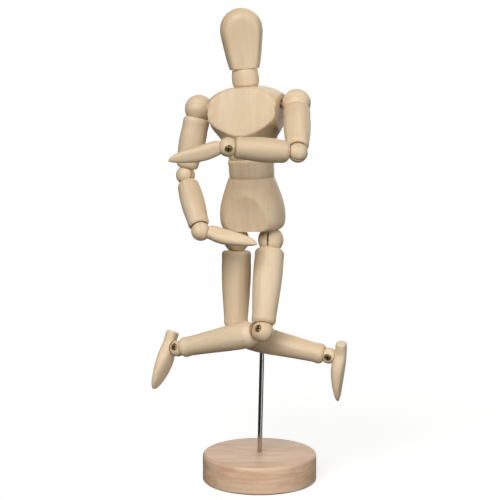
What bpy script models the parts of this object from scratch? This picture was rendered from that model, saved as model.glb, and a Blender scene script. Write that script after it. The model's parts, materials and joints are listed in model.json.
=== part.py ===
"""Jointed wooden artist mannequin, posed on a steel rod that stands in a round wooden base.

Frame: metres, +Z up, origin at the centre of the base's flat underside, the figure faces -Y.
left_ and right_ are the figure's own left (+X side) and right (-X side).
Every limb joint is the same mechanism at its own size: a slotted wooden ball sits in a dish
in the end of the upper piece, its stem is pulled home by a coil spring in that piece, and a
cross screw through the ball holds the tongue of the lower piece. The ball turns about the
upper piece's axis, and the tongue swings about the screw.
"""
from math import cos, pi, radians, sin, sqrt

import bmesh
import bpy
from mathutils import Matrix, Vector

MM = 0.001

# running gaps, mm
SEAT_GAP = 0.35
SLOT_GAP = 0.3
SCREW_GAP = 0.4
ROD_HOLE_GAP = 0.2

# base and rod, mm and degrees
BASE_RADIUS = 37.5
BASE_HEIGHT = 18.3
BASE_EDGE = 2.2
BASE_CHAMFER = 0.8
ROD_RADIUS = 1.5
ROD_TIP = 0.5
ROD_FOOT_Z = 6.0
ROD_TOP_Z = 181.0
ROD_LEAN = 1.32

# torso, mm and degrees: where each piece stands and how it is turned
TORSO_YAW = -15.0
PELVIS_AT = (-4.2, -13.5, 168.6)
PELVIS_ROLL = -2.0
CHEST_ROLL = -4.0
NECK_ROLL = -5.0
HEAD_YAW = 2.0

# the waist rocks on a sphere in the pelvis, the neck on one in the chest, mm
WAIST_SPHERE = 18.0
WAIST_DISH = 19.0
WAIST_CENTRE = 12.0
WAIST_RADIUS = 14.4
WAIST_TOP = 0.6
NECK_SPHERE = 9.6
NECK_DISH = 10.5
NECK_CENTRE = 6.2
NECK_TOP = 4.5

# joint places on the torso, mm
SHOULDER_SIDE = 32.0
SHOULDER_HEIGHT = 33.0
HIP_SIDE = 11.3
HIP_DROP = 6.9

# springs: coil radius to the wire's middle, wire radius and the bore around them, mm
COIL_RADIUS = 2.1
WIRE_RADIUS = 0.35
BORE_RADIUS = 3.0
SPINE_COIL_RADIUS = 2.5
SPINE_BORE_RADIUS = 3.4
PELVIS_BORE_RADIUS = 5.1
# a limb's spring lies round the stem's end, from behind it to ahead of it, mm
SPRING_BEHIND = 7.5
SPRING_AHEAD = 2.5

# cross screws, mm
SCREW_RADIUS = 1.0
SCREW_POINT = 1.3
HEAD_RADIUS = 2.1
HEAD_DEPTH = 1.1
HEAD_SINK = 0.9

# each ball joint, mm: ball radius, the tongue's thickness, and the stem's length below the ball
JOINTS = {
    "shoulder": {"ball": 9.0, "tongue": 1.2, "stem": 4.0},
    "elbow": {"ball": 6.1, "tongue": 1.0, "stem": 5.0},
    "wrist": {"ball": 6.0, "tongue": 1.0, "stem": 5.0},
    "hip": {"ball": 8.2, "tongue": 1.2, "stem": 4.0},
    "knee": {"ball": 6.9, "tongue": 1.0, "stem": 5.0},
    "ankle": {"ball": 5.2, "tongue": 1.0, "stem": 5.0},
}
STEM_RADIUS = 1.3
# a tongue's round eye as a share of its ball
EYE_SHARE = 0.58
# how far a tongue is rooted in its piece beyond the scoop, mm
TONGUE_ROOT = 1.5

# each limb as its joints, the piece below each one, and the distance to the next joint, mm
ARM = (("shoulder", "upper_arm", 43.0), ("elbow", "forearm", 43.0), ("wrist", "hand", 0))
LEG = (("hip", "thigh", 60.5), ("knee", "shin", 62.0), ("ankle", "foot", 0))

# the pose: which way each limb piece points from its upper joint, the way of the hip's screw
# head, and the joints whose screw heads are behind
POSE = {
    "left": {
        "upper_arm": (0.0, -0.75, -0.66),
        "forearm": (-0.99, -0.12, 0.09),
        "hand": (-0.97, -0.07, -0.22),
        "thigh": (-0.14, -0.43, -0.90),
        "shin": (-0.875, 0.40, -0.26),
        "foot": (-0.826, 0.549, 0.12),
        "hip_screw": (-0.965, 0.26, 0.0),
        "behind": ("shoulder", "elbow"),
    },
    "right": {
        "upper_arm": (-0.20, -0.12, -0.97),
        "forearm": (0.24, -0.60, -0.76),
        "hand": (0.95, -0.25, -0.18),
        "thigh": (-0.01, -0.06, -1.0),
        "shin": (0.955, -0.23, -0.185),
        "foot": (0.955, -0.24, -0.09),
        "hip_screw": (0.78, -0.63, 0.0),
        "behind": ("shoulder", "elbow", "wrist"),
    },
}

# turned outlines of the torso: radius and height above the piece's lower end, mm
PELVIS_HEIGHT = 32.4
PELVIS_OUTLINE = [
    (0, 0), (17.0, 0), (19.2, 1.4), (20.4, 4), (20.9, 8), (20.8, 12), (20.0, 17), (18.6, 22),
    (16.9, 27), (15.5, 31), (14.9, PELVIS_HEIGHT), (0, PELVIS_HEIGHT),
]
CHEST_HEIGHT = 45.2
CHEST_OUTLINE = [
    (0, 0), (13.4, 0), (14.0, 0.6), (15.5, 6), (17.8, 12.4), (20.6, 16.6), (25.4, 22.4), (27.8, 27.6),
    (27.6, 32.5), (24.6, 38), (19.6, 41.9), (13.4, 44.4), (10.4, CHEST_HEIGHT), (0, CHEST_HEIGHT),
]
HEAD_OUTLINE = [
    (0, 0), (8.5, 0), (9.6, 1.0), (10.2, 4), (11.0, 9), (12.0, 15), (12.9, 20), (13.4, 24.5),
    (13.0, 28), (11.9, 31), (10.1, 33.6), (7.7, 35.8), (4.7, 37.5), (0, 38.4),
]
# the flats cut on them: a point in mm on each flat and the way out of the wood
PELVIS_FLATS = [((0, -14.9, 0), (0, -1, -0.15)), ((0, 18, 0), (0, 1, 0))]
CHEST_FLATS = [
    ((0, -19.4, 16), (0, -1, 0.2)), ((0, 17, 16), (0, 1, 0.06)),
    ((21, 0, 23), (1, 0, -0.12)), ((-21, 0, 23), (-1, 0, -0.12)),
]
FACE_FLAT = ((0, -7.5, 0), (0, -1, -0.05))

# turned outlines of the limbs: radius and distance from the upper joint's centre, mm
LIMB_OUTLINES = {
    "upper_arm": [
        (0, 5.6), (7.1, 5.6), (7.8, 6.8), (8.3, 13), (8.5, 20), (8.1, 27), (7.2, 34), (6.6, 37.2),
        (5.6, 38.5), (0, 38.5),
    ],
    "forearm": [
        (0, 5.7), (5.0, 5.7), (6.3, 7.3), (7.2, 12), (7.6, 20), (7.3, 28), (6.7, 34), (6.3, 37.6),
        (5.6, 38.6), (0, 38.6),
    ],
    "thigh": [
        (0, 6.9), (7.9, 6.9), (8.8, 8), (9.3, 13), (9.4, 21), (9.0, 32), (8.3, 42), (7.7, 50),
        (7.3, 54.4), (6.4, 55.8), (0, 55.8),
    ],
    "shin": [
        (0, 6.4), (6.2, 6.4), (7.9, 9), (8.5, 14), (8.3, 22), (7.6, 32), (6.9, 42), (6.3, 52),
        (6.1, 57.2), (5.2, 58.7), (0, 58.7),
    ],
}
# distance from the wrist, sideways shift, and half sizes across and through the hand, mm
HAND_STATIONS = [
    (4.4, 0.8, 4.0, 3.3), (7, 0.8, 4.6, 3.6), (13, 0.1, 5.0, 3.7), (20, -0.1, 4.7, 3.4),
    (26.5, 0.2, 3.9, 2.8), (32, 0.3, 2.8, 2.1), (35.6, 0.2, 1.4, 1.2), (37, 0, 0.5, 0.5),
]
# distance ahead of the ankle, depth below it, and half sizes through and across the foot, mm
FOOT_STATIONS = [
    (-9.8, 7.4, 2.8, 4.1), (-9.2, 7.4, 3.3, 4.6), (-6, 7.5, 3.6, 4.4), (-2, 7.4, 3.8, 4.0),
    (2.5, 7.0, 4.2, 5.4), (7.5, 6.6, 4.3, 6.8), (13.4, 6.7, 3.8, 7.1), (20.7, 7.2, 2.7, 6.1),
    (27, 7.9, 1.5, 3.4), (29.2, 8.2, 0.6, 1.3),
]

# how finely round shapes are cut into flats
TORSO_STEPS = 24
ROUND_STEPS = 12
BORE_STEPS = 8
SCREW_STEPS = 6

# colour, roughness and metallic value
FINISHES = {
    "limewood": ((0.78, 0.62, 0.42, 1), 0.5, 0.0),
    "beech": ((0.62, 0.42, 0.28, 1), 0.5, 0.0),
    "steel": ((0.55, 0.55, 0.55, 1), 0.25, 1.0),
    "screw_steel": ((0.35, 0.30, 0.22, 1), 0.35, 1.0),
    "spring_steel": ((0.45, 0.45, 0.47, 1), 0.35, 1.0),
}

# quarter turns that lay a turned shape along X or along Y
ALONG_X = Matrix.Rotation(pi / 2, 4, "Y")
ALONG_Y = Matrix.Rotation(pi / 2, 4, "X")
UPRIGHT = Matrix.Identity(4)
# longer than any bore or cut that must run right through a piece, mm
THROUGH = 60


def clear_scene():
    for obj in list(bpy.data.objects):
        bpy.data.objects.remove(obj, do_unlink=True)


def new_collection(name):
    collection = bpy.data.collections.new(name)
    bpy.context.scene.collection.children.link(collection)
    return collection


def material(name):
    """The material of that name, a Principled shader."""
    if name in bpy.data.materials:
        return bpy.data.materials[name]
    colour, roughness, metallic = FINISHES[name]
    made = bpy.data.materials.new(name)
    made.use_nodes = True
    shader = made.node_tree.nodes["Principled BSDF"]
    shader.inputs["Base Color"].default_value = colour
    shader.inputs["Roughness"].default_value = roughness
    shader.inputs["Metallic"].default_value = metallic
    made.diffuse_color = colour
    return made


def dish_radius(joint):
    """The radius of the dish or scoop that clears a joint's ball, mm."""
    return 1.1 * JOINTS[joint]["ball"] + 0.3


def eye_radius(joint):
    """The radius of the round end of a joint's tongue, mm."""
    return EYE_SHARE * JOINTS[joint]["ball"]


def frame_at(point, along, across):
    """A frame at a point in mm, with Z along one way and Y as near across as it goes."""
    z = Vector(along).normalized()
    y = (Vector(across) - z * z.dot(Vector(across))).normalized()
    x = y.cross(z)
    turn = Matrix((x, y, z)).transposed().to_4x4()
    return Matrix.Translation(Vector(point) * MM) @ turn


def spot(frame, point):
    """Where a point in mm in a frame lies in the world, mm."""
    return (frame @ (Vector(point) * MM)) / MM


def direction(frame, way):
    return (frame.to_3x3() @ Vector(way)).normalized()


def slid(frame, point):
    """A frame moved by a point in mm along its own axes."""
    return frame @ Matrix.Translation(Vector(point) * MM)


def work_object(name, mesh):
    """A working solid in the cutters' collection."""
    obj = bpy.data.objects.new(name, mesh)
    obj.hide_render = True
    obj.display_type = "WIRE"
    bpy.data.collections["cutters"].objects.link(obj)
    return obj


def turned(outline, steps=ROUND_STEPS, frame=UPRIGHT):
    """A turned solid about Z from (radius, height) pairs in mm, listed upwards."""
    mesh = bpy.data.meshes.new("outline")
    points = [(radius * MM, 0, height * MM) for radius, height in reversed(outline)]
    mesh.from_pydata(points, [(k, k + 1) for k in range(len(points) - 1)], [])
    obj = work_object("turned", mesh)
    screw = obj.modifiers.new("turn", "SCREW")
    screw.steps = steps
    screw.render_steps = steps
    screw.use_merge_vertices = True
    screw.merge_threshold = 0.00001
    obj.matrix_world = frame
    return obj


def cylinder(radius, low, high, steps=BORE_STEPS, frame=UPRIGHT):
    """A cylinder about Z between two heights, mm."""
    return turned([(0, low), (radius, low), (radius, high), (0, high)], steps, frame)


def sphere(radius, centre=(0, 0, 0), segments=10, rings=6):
    """A ball, mm."""
    mesh = bpy.data.meshes.new("sphere")
    shape = bmesh.new()
    bmesh.ops.create_uvsphere(shape, u_segments=segments, v_segments=rings, radius=radius * MM)
    shape.to_mesh(mesh)
    shape.free()
    obj = work_object("sphere", mesh)
    obj.location = Vector(centre) * MM
    return obj


def block(low, high, frame=UPRIGHT):
    """A box between two corners, mm."""
    size = Matrix.Diagonal([(b - a) * MM for a, b in zip(low, high)] + [1])
    middle = Matrix.Translation([(a + b) / 2 * MM for a, b in zip(low, high)])
    mesh = bpy.data.meshes.new("block")
    shape = bmesh.new()
    bmesh.ops.create_cube(shape, size=1, matrix=middle @ size)
    shape.to_mesh(mesh)
    shape.free()
    obj = work_object("block", mesh)
    obj.matrix_world = frame
    return obj


def beyond(point, outward):
    """A block that holds everything beyond a flat, given by a point on it and the way out."""
    frame = frame_at(point, outward, (1, 0.01, 0))
    return block((-2 * THROUGH, -2 * THROUGH, 0), (2 * THROUGH, 2 * THROUGH, 2 * THROUGH), frame)


def lofted(rings):
    """A solid through closed rings of points in mm, with flat ends."""
    shape = bmesh.new()
    loops = [[shape.verts.new(Vector(point) * MM) for point in ring] for ring in rings]
    count = len(loops[0])
    for one, other in zip(loops, loops[1:]):
        for k in range(count):
            shape.faces.new((one[k], one[(k + 1) % count], other[(k + 1) % count], other[k]))
    shape.faces.new(loops[0])
    shape.faces.new(loops[-1])
    bmesh.ops.recalc_face_normals(shape, faces=shape.faces)
    mesh = bpy.data.meshes.new("loft")
    shape.to_mesh(mesh)
    shape.free()
    return work_object("loft", mesh)


def oval(half_x, half_y, count=10, squareness=2.6):
    """Points round a rounded-square outline, mm."""
    points = []
    for k in range(count):
        angle = 2 * pi * k / count
        across, along = cos(angle), sin(angle)
        x = abs(across) ** (2 / squareness) * half_x
        y = abs(along) ** (2 / squareness) * half_y
        points.append((x if across >= 0 else -x, y if along >= 0 else -y))
    return points


def shaped(body, joined=(), cut=()):
    """The mesh of body with some solids joined on and some cut away, its placing applied."""
    steps = [("UNION", solid) for solid in joined] + [("DIFFERENCE", solid) for solid in cut]
    for operation, solid in steps:
        change = body.modifiers.new(operation.lower(), "BOOLEAN")
        change.operation = operation
        change.object = solid
        change.solver = "EXACT"
    graph = bpy.context.evaluated_depsgraph_get()
    mesh = bpy.data.meshes.new_from_object(body.evaluated_get(graph))
    mesh.transform(body.matrix_world)
    for obj in [body] + [solid for _, solid in steps]:
        bpy.data.objects.remove(obj, do_unlink=True)
    return mesh


def held(obj, parent):
    """Parents a piece that is in place already."""
    bpy.context.view_layer.update()
    obj.parent = parent
    obj.matrix_parent_inverse = parent.matrix_world.inverted()


def piece(name, mesh, frame, finish, parent=None):
    """A finished piece of the mannequin, placed by its frame."""
    obj = bpy.data.objects.new(name, mesh)
    bpy.data.collections["artist_mannequin"].objects.link(obj)
    mesh.materials.clear()
    mesh.materials.append(material(finish))
    mesh.shade_smooth()
    mesh.set_sharp_from_angle(angle=radians(35))
    obj.matrix_world = frame
    if parent:
        held(obj, parent)
    return obj


def coil(name, frame, low, high, turns, radius=COIL_RADIUS, parent=None):
    """A coil spring about the frame's Z between two heights, mm."""
    per_turn = 5
    count = turns * per_turn
    curve = bpy.data.curves.new(name, "CURVE")
    curve.dimensions = "3D"
    curve.bevel_depth = WIRE_RADIUS * MM
    curve.bevel_resolution = 0
    curve.use_fill_caps = True
    curve.materials.append(material("spring_steel"))
    line = curve.splines.new("POLY")
    line.points.add(count)
    for k, point in enumerate(line.points):
        angle = 2 * pi * k / per_turn
        height = low + (high - low) * k / count
        point.co = (radius * cos(angle) * MM, radius * sin(angle) * MM, height * MM, 1)
    obj = bpy.data.objects.new(name, curve)
    bpy.data.collections["artist_mannequin"].objects.link(obj)
    obj.matrix_world = frame
    if parent:
        held(obj, parent)


def rod_frame(height):
    """The rod's frame: Z up its leaning axis, origin on the axis at a height in mm."""
    lean = radians(ROD_LEAN)
    along = Vector((sin(lean), 0, cos(lean)))
    foot = Vector((0, 0, BASE_HEIGHT))
    return frame_at(foot + along * ((height - BASE_HEIGHT) / cos(lean)), along, (0, 1, 0))


def make_base():
    """The turned base, with a hole for the rod."""
    inner = BASE_RADIUS - BASE_EDGE
    outline = [(0, 0), (BASE_RADIUS - BASE_CHAMFER, 0), (BASE_RADIUS, BASE_CHAMFER)]
    for k in range(4):
        angle = pi / 6 * k
        outline.append((inner + BASE_EDGE * cos(angle), BASE_HEIGHT - BASE_EDGE * (1 - sin(angle))))
    outline.append((0, BASE_HEIGHT))
    foot = rod_frame(ROD_FOOT_Z)
    hole = cylinder(ROD_RADIUS + ROD_HOLE_GAP, -ROD_HOLE_GAP, THROUGH, ROUND_STEPS, foot)
    return piece("base", shaped(turned(outline, 32), cut=[hole]), UPRIGHT, "beech")


def make_rod(base):
    """The rod, from its hole in the base to its end in the pelvis."""
    length = (ROD_TOP_Z - ROD_FOOT_Z) / cos(radians(ROD_LEAN))
    outline = [
        (0, 0), (ROD_RADIUS - ROD_TIP, 0), (ROD_RADIUS, ROD_TIP), (ROD_RADIUS, length - ROD_TIP),
        (ROD_RADIUS - ROD_TIP, length), (0, length),
    ]
    piece("rod", shaped(turned(outline)), rod_frame(ROD_FOOT_Z), "steel", base)


def torso_frames():
    """The frames of the pelvis, waist, chest, neck and head."""
    def at(point, roll):
        turn = Matrix.Rotation(radians(TORSO_YAW), 4, "Z") @ Matrix.Rotation(radians(roll), 4, "Y")
        return Matrix.Translation(Vector(point) * MM) @ turn

    pelvis = at(PELVIS_AT, PELVIS_ROLL)
    waist = at(spot(pelvis, (0, 0, PELVIS_HEIGHT + WAIST_CENTRE)), CHEST_ROLL)
    chest = slid(waist, (0, 0, WAIST_TOP + SEAT_GAP))
    neck = at(spot(chest, (0, 0, CHEST_HEIGHT + NECK_CENTRE)), NECK_ROLL)
    facing = Matrix.Rotation(radians(HEAD_YAW - TORSO_YAW), 4, "Z")
    head = slid(neck, (0, 0, NECK_TOP + SEAT_GAP)) @ facing
    return {"pelvis": pelvis, "waist": waist, "chest": chest, "neck": neck, "head": head}


def make_pelvis(frame):
    """A turned bell, flat in front and behind, with a dish on top and the hip dishes below."""
    spring_floor = 14
    hip_bore_top = 15
    rod_way = frame.inverted() @ rod_frame(ROD_TOP_Z)
    cut = [beyond(*flat) for flat in PELVIS_FLATS]
    cut += [
        sphere(WAIST_DISH, (0, 0, PELVIS_HEIGHT + WAIST_CENTRE), 16, 14),
        cylinder(PELVIS_BORE_RADIUS, spring_floor, THROUGH),
        cylinder(ROD_RADIUS + SEAT_GAP, -THROUGH, 2 * SEAT_GAP, ROUND_STEPS, rod_way),
    ]
    for side in (-HIP_SIDE, HIP_SIDE):
        cut.append(sphere(dish_radius("hip"), (side, 0, -HIP_DROP)))
        cut.append(cylinder(BORE_RADIUS, -HIP_DROP, hip_bore_top, frame=slid(UPRIGHT, (side, 0, 0))))
    axis = bpy.data.objects.new("figure_swivel_axis", None)
    bpy.data.collections["artist_mannequin"].objects.link(axis)
    axis.matrix_world = rod_frame(PELVIS_AT[2])
    mesh = shaped(turned(PELVIS_OUTLINE, TORSO_STEPS), cut=cut)
    return piece("pelvis", mesh, frame, "limewood", axis)


def underside(sphere_radius, edge_radius, count=5):
    """The lower half of a turned outline: a spherical cap out to an edge, mm."""
    radii = [edge_radius * k / count for k in range(count + 1)]
    return [(radius, -sqrt(sphere_radius**2 - radius**2)) for radius in radii]


def make_waist(frame):
    """A drum with a ball-shaped underside that rocks in the pelvis."""
    outline = underside(WAIST_SPHERE, WAIST_RADIUS - 0.8)
    rim = outline[-1][1]
    outline += [(WAIST_RADIUS - 0.2, rim + 1.2), (WAIST_RADIUS, rim + 3.2), (WAIST_RADIUS, -3.5)]
    outline += [(WAIST_RADIUS - 0.3, WAIST_TOP - 0.5), (WAIST_RADIUS - 0.8, WAIST_TOP), (0, WAIST_TOP)]
    bore = cylinder(SPINE_BORE_RADIUS, -THROUGH, THROUGH)
    piece("waist", shaped(turned(outline, 20), cut=[bore]), frame, "limewood")


def make_chest(frame):
    """A turned body cut flat in front, behind and at the sides, with its three bores."""
    spine_bore_top = 24
    neck_bore_floor = 37.8
    shoulders = slid(UPRIGHT, (0, 0, SHOULDER_HEIGHT)) @ ALONG_X
    cut = [beyond(*flat) for flat in CHEST_FLATS]
    cut += [
        sphere(NECK_DISH, (0, 0, CHEST_HEIGHT + NECK_CENTRE), 12, 10),
        cylinder(SPINE_BORE_RADIUS, -THROUGH, spine_bore_top),
        cylinder(BORE_RADIUS, neck_bore_floor, THROUGH),
        cylinder(BORE_RADIUS, -THROUGH, THROUGH, frame=shoulders),
    ]
    for side in (-SHOULDER_SIDE, SHOULDER_SIDE):
        cut.append(sphere(dish_radius("shoulder"), (side, 0, SHOULDER_HEIGHT)))
    mesh = shaped(turned(CHEST_OUTLINE, TORSO_STEPS), cut=cut)
    chest = piece("chest", mesh, frame, "limewood")
    shoulder = JOINTS["shoulder"]
    reach = SHOULDER_SIDE - shoulder["ball"] - shoulder["stem"] + 1.5
    coil("shoulder_spring", frame @ shoulders, -reach, reach, 5, parent=chest)
    return chest


def make_neck(frame):
    """A barrel with a ball-shaped underside, bored through for its spring."""
    outline = underside(NECK_SPHERE, 8.2)
    outline += [(8.5, -3), (8.6, 0), (8.3, 2.6), (7.8, NECK_TOP - 0.2), (7.5, NECK_TOP), (0, NECK_TOP)]
    bore = cylinder(BORE_RADIUS, -THROUGH, THROUGH)
    piece("neck", shaped(turned(outline, 16), cut=[bore]), frame, "limewood")


def make_head(frame):
    """A turned egg, wide above and cut flat below, with a flat face and a blind bore."""
    bore_top = 18
    cut = [beyond(*FACE_FLAT), cylinder(BORE_RADIUS, -THROUGH, bore_top)]
    piece("head", shaped(turned(HEAD_OUTLINE, 20), cut=cut), frame, "limewood")


def screw_bore():
    """The hole through a tongue for the screw, which lies along Y."""
    return cylinder(SCREW_RADIUS + SCREW_GAP, -THROUGH, THROUGH, SCREW_STEPS, ALONG_Y)


def tongued(body, joint):
    """The mesh of a lower piece's body, scooped for the joint's ball and given its tongue."""
    hollow = work_object("body", shaped(body, cut=[sphere(dish_radius(joint))]))
    eye = eye_radius(joint)
    half = JOINTS[joint]["tongue"] / 2
    root = dish_radius(joint) + TONGUE_ROOT
    tongue = [
        cylinder(eye, -half, half, ROUND_STEPS, ALONG_Y),
        block((-0.8 * eye, -half, 0), (0.8 * eye, half, root)),
    ]
    return shaped(hollow, joined=tongue, cut=[screw_bore()])


def limb_mesh(name, upper, lower, length):
    """A turned limb piece: scooped and tongued above, dished and bored below."""
    ball = JOINTS[lower]["ball"]
    dish = sphere(dish_radius(lower), (0, 0, length))
    bore = cylinder(BORE_RADIUS, length - ball - 14, length)
    body = work_object("body", shaped(turned(LIMB_OUTLINES[name]), cut=[dish, bore]))
    return tongued(body, upper)


def hand_mesh():
    """A flat mitten with a tongue for the wrist."""
    rings = []
    for along, shift, half_x, half_y in HAND_STATIONS:
        rings.append([(x + shift, y, along) for x, y in oval(half_x, half_y)])
    return tongued(lofted(rings), "wrist")


def foot_mesh():
    """A pointed foot along X, with a tongue up to the ankle."""
    rings = []
    for along, depth, half_z, half_y in FOOT_STATIONS:
        rings.append([(along, y, z + depth) for z, y in oval(half_z, half_y)])
    return tongued(lofted(rings), "ankle")


def ball_mesh(joint):
    """A slotted ball with a stem behind it and a stepped hole for the cross screw."""
    size = JOINTS[joint]
    radius = size["ball"]
    half = size["tongue"] / 2 + SLOT_GAP
    floor = -eye_radius(joint) - SEAT_GAP
    stem = cylinder(STEM_RADIUS, -radius - size["stem"], 1 - radius, SCREW_STEPS)
    body = work_object("body", shaped(sphere(radius, segments=14, rings=8), joined=[stem]))
    head_floor = radius - HEAD_SINK - HEAD_DEPTH - SCREW_GAP
    cut = [
        block((-THROUGH, -half, floor), (THROUGH, half, THROUGH)),
        cylinder(HEAD_RADIUS + SCREW_GAP, head_floor, THROUGH, BORE_STEPS, ALONG_Y),
        cylinder(SCREW_RADIUS + SCREW_GAP, SCREW_POINT - SCREW_GAP - radius, radius, SCREW_STEPS, ALONG_Y),
    ]
    return shaped(body, cut=cut)


def screw_mesh(joint):
    """A round-headed wood screw along -Y, its head sunk in the ball."""
    point = SCREW_POINT - JOINTS[joint]["ball"]
    top = JOINTS[joint]["ball"] - HEAD_SINK
    neck = top - HEAD_DEPTH
    outline = [
        (0, point), (SCREW_RADIUS, point + 0.8), (SCREW_RADIUS, neck), (HEAD_RADIUS, neck),
        (HEAD_RADIUS, top - 0.5), (HEAD_RADIUS - 0.6, top - 0.1), (0, top),
    ]
    return shaped(turned(outline, SCREW_STEPS, ALONG_Y))


def make_ball(side, joint, frame, holder, meshes):
    """A joint's ball and cross screw, and its spring in the piece that holds it."""
    ball = piece(f"{side}_{joint}_ball", meshes[joint, "ball"], frame, "limewood")
    piece(f"{side}_{joint}_screw", meshes[joint, "screw"], frame, "screw_steel", ball)
    if joint != "shoulder":
        stem_end = -JOINTS[joint]["ball"] - JOINTS[joint]["stem"]
        low, high = stem_end - SPRING_BEHIND, stem_end + SPRING_AHEAD
        coil(f"{side}_{joint}_spring", frame, low, high, 4, parent=holder)


def across_both(upper, lower, behind):
    """The way of a cross screw's head, square to both pieces, in front or behind."""
    way = upper.cross(lower).normalized()
    return way if (way.y > 0) == behind else -way


def make_limb(side, limb, centre, way, holder, meshes):
    """A chain of ball joints and pieces from a place on the torso, in mm, outwards."""
    for joint, name, length in limb:
        lower = Vector(POSE[side][name]).normalized()
        head_way = across_both(way, lower, joint in POSE[side]["behind"])
        if joint == "hip":
            given = Vector(POSE[side]["hip_screw"])
            head_way = (given - way * way.dot(given)).normalized()
            lower = (lower - head_way * lower.dot(head_way)).normalized()
        make_ball(side, joint, frame_at(centre, way, -head_way), holder, meshes)
        frame = frame_at(centre, lower, -head_way)
        if name == "foot" and direction(frame, (1, 0, 0)).z > 0:
            frame = frame @ Matrix.Rotation(pi, 4, "Z")
        holder = piece(f"{side}_{name}", meshes[name], frame, "limewood")
        centre = spot(frame, (0, 0, length))
        way = lower


def joint_meshes():
    """Every mesh that the two arms and the two legs share."""
    meshes = {"hand": hand_mesh(), "foot": foot_mesh()}
    for limb in (ARM, LEG):
        for (upper, name, length), (lower, _, _) in zip(limb, limb[1:]):
            meshes[name] = limb_mesh(name, upper, lower, length)
    for joint in JOINTS:
        meshes[joint, "ball"] = ball_mesh(joint)
        meshes[joint, "screw"] = screw_mesh(joint)
    return meshes


def main():
    clear_scene()
    new_collection("artist_mannequin")
    new_collection("cutters")
    make_rod(make_base())
    frames = torso_frames()
    pelvis = make_pelvis(frames["pelvis"])
    make_waist(frames["waist"])
    chest = make_chest(frames["chest"])
    make_neck(frames["neck"])
    make_head(frames["head"])
    coil("spine_spring", frames["waist"], -27.5, 23.5, 8, SPINE_COIL_RADIUS)
    coil("neck_spring", frames["neck"], -12, 17, 5)
    meshes = joint_meshes()
    down = direction(frames["pelvis"], (0, 0, -1))
    for side, sign in (("left", 1), ("right", -1)):
        shoulder = spot(frames["chest"], (sign * SHOULDER_SIDE, 0, SHOULDER_HEIGHT))
        outward = direction(frames["chest"], (sign, 0, 0))
        make_limb(side, ARM, shoulder, outward, chest, meshes)
        hip = spot(frames["pelvis"], (sign * HIP_SIDE, 0, -HIP_DROP))
        make_limb(side, LEG, hip, down, pelvis, meshes)


main()
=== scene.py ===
"""The looks of the artist's mannequin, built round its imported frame.

Shapes are given in millimetres in each piece's own frame: a limb piece has its origin at the
centre of its upper joint, Z along the piece and its cross screw's head towards -Y. The frames
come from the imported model's joints, so every piece lies where the CAD has it.
"""

import json
from math import asin, ceil, cos, pi, radians, sin, sqrt

import bmesh
import bpy
from mathutils import Matrix, Vector


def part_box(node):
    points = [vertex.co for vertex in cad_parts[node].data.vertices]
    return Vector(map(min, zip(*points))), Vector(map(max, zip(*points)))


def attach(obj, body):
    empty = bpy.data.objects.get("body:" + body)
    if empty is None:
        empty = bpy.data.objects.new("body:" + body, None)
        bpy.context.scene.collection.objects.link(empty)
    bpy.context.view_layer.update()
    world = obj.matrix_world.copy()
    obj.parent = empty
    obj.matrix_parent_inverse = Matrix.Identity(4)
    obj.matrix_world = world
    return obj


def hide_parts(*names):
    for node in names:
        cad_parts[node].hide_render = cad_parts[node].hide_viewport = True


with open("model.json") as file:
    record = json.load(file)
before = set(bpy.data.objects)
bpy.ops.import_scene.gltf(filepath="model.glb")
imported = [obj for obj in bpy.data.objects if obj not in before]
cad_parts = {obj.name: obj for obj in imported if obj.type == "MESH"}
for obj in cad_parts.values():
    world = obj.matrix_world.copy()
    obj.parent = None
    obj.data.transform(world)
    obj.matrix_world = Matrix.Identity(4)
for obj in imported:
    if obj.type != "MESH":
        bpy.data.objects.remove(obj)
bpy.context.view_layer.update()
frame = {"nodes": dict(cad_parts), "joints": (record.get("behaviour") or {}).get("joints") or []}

MM = 0.001
# longer than any bore or cut that must run right through a piece, mm
THROUGH = 60

# running gap between a ball and its dish, a tongue and its slot, a screw and its hole, mm
DISH_GAP = 0.45
SLOT_GAP = 0.12
SCREW_GAP = 0.4
FLOOR_GAP = 0.35

# joint balls: ball radius, tongue thickness and stem length, mm
JOINT_SIZES = {
    "shoulder": (9.0, 1.2, 4.0),
    "elbow": (6.1, 1.0, 5.0),
    "wrist": (6.0, 1.0, 5.0),
    "hip": (8.2, 1.2, 4.0),
    "knee": (6.9, 1.0, 5.0),
    "ankle": (5.2, 1.0, 5.0),
}
STEM_RADIUS = 1.3
# the tongue's eye as a share of the ball, its root's width as a share of the eye, and how far
# the root goes into the wood, mm
EYE_SHARE = 0.58
ROOT_SHARE = 0.8
TONGUE_ROOT = 1.5
# the cross screw, mm: shank, how far its point stays from the ball's surface, and pan head
SCREW_RADIUS = 1.0
SCREW_POINT = 1.3
HEAD_RADIUS = 2.1
HEAD_DEPTH = 1.1
HEAD_SINK = 0.9
BORE_RADIUS = 3.0
SPINE_BORE_RADIUS = 3.4
PELVIS_BORE_RADIUS = 5.1
# how far a limb's bore for the spring goes in beyond its lower ball, mm
BORE_DEPTH = 14

# the rod, and its holes in the base and the pelvis, mm
ROD_RADIUS = 1.5
BASE_HOLE_RADIUS = 1.7
PELVIS_HOLE_RADIUS = 1.85

# the torso's joint places, mm
SHOULDER_HEIGHT = 33
SHOULDER_SIDE = 32
HIP_DROP = 6.9
HIP_SIDE = 11.3
WAIST_CENTRE = 12
WAIST_TOP = 0.6
WAIST_BALL = 18
WAIST_EDGE = 13.8
NECK_CENTRE = 6.2
NECK_TOP = 4.5
NECK_BALL = 9.6
NECK_EDGE = 8.2
# how far the head is turned on the neck, degrees
HEAD_TURNED = 17
# how much closer the flat tops of the waist and the neck come to the piece above than in the
# CAD, mm, and how much further the part inside their step rises
SEAT_LIFT = 0.12
SEAT_STEP = 0.2

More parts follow.
